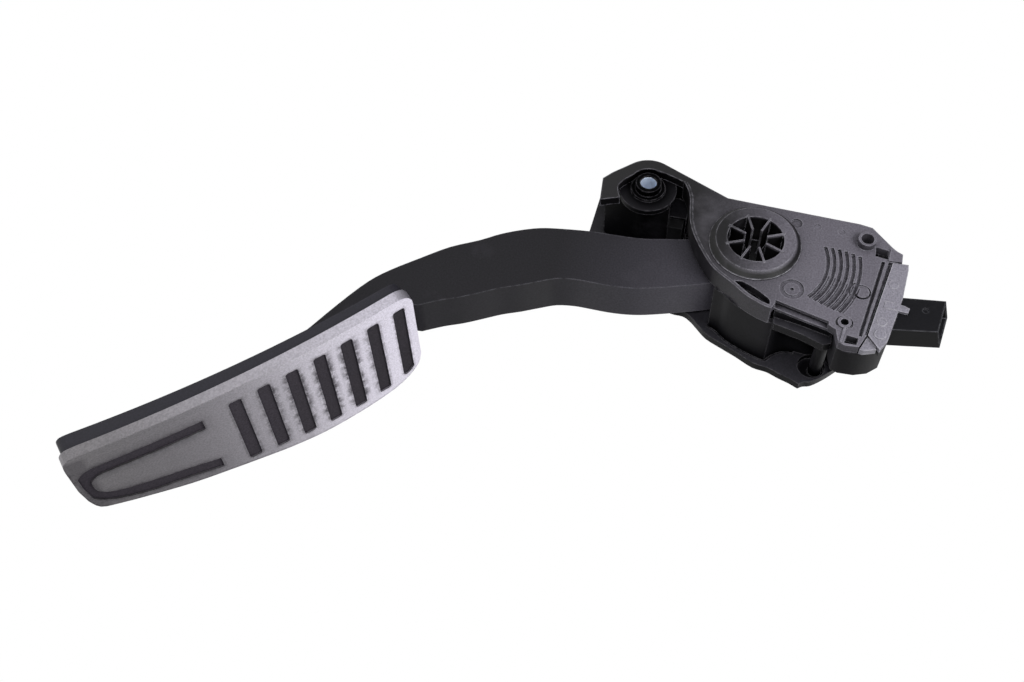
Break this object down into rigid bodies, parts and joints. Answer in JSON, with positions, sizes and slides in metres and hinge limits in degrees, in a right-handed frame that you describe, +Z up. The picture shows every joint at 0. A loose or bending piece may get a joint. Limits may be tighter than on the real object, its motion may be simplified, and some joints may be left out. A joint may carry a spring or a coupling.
{
  "type": "accelerator pedal module",
  "caption": "Car accelerator pedal with a bearing housing, sensor connector, hollow plastic arm and a curved metal faced pad with rubber tread.",
  "frame": {"origin": "axis of the steel mounting sleeve, on the rear mounting plane", "axes": "+X towards the driver, +Y back into the car body along the sleeve, +Z up"},
  "size_m": [0.1924, 0.0574, 0.3075],
  "materials": {
    "shell_plastic": "black glass filled plastic, fine grained",
    "cover_plastic": "dark grey plastic, satin from handling",
    "lid_plastic": "light grey plastic, satin",
    "connector_plastic": "black plastic, smooth",
    "arm_plastic": "black plastic, fine grained, satin",
    "carrier_plastic": "black plastic, matt",
    "bush_plastic": "natural bearing plastic, smooth",
    "board_laminate": "green lacquered laminate",
    "zinc_steel": "zinc plated, slightly blue",
    "spring_steel": "drawn spring wire, oiled",
    "rotor_metal": "stamped sheet",
    "pin_brass": "tinned brass",
    "pad_metal": "satin brushed sheet, worn and slightly soiled",
    "tread_rubber": "dark grey rubber, matt",
    "seal_rubber": "black rubber",
    "stop_rubber": "black rubber"
  },
  "bodies": {
    "housing": {"housing_shell": "shell_plastic", "front_cover": "cover_plastic", "mounting_sleeve": "zinc_steel", "sensor_housing": "shell_plastic", "sensor_lid": "lid_plastic", "lid_seal": "seal_rubber", "connector_shroud": "connector_plastic", "connector_pins": "pin_brass", "circuit_board": "board_laminate", "front_bush": "bush_plastic", "rear_bush": "bush_plastic", "idle_stop": "stop_rubber", "full_travel_stop": "stop_rubber", "spring_cap": "bush_plastic", "outer_spring": "spring_steel", "inner_spring": "spring_steel"},
    "pedal": {"pedal_arm": "arm_plastic", "front_pivot": "cover_plastic", "rear_pivot": "arm_plastic", "sensor_rotor": "rotor_metal", "spring_seat": "bush_plastic", "pad_carrier": "carrier_plastic", "tread_insert": "tread_rubber", "pad_cover": "pad_metal"}
  },
  "joints": [
    {"name": "pedal_pivot", "type": "hinge", "parent": "housing", "child": "pedal", "pos_m": [0.022, -0.019, 0.046], "axis": [0, 1, 0], "range_deg": [0, 15], "stiffness_Nm_per_rad": 1.5, "springref_deg": -51.57, "deforming": ["outer_spring", "inner_spring"]}
  ]
}
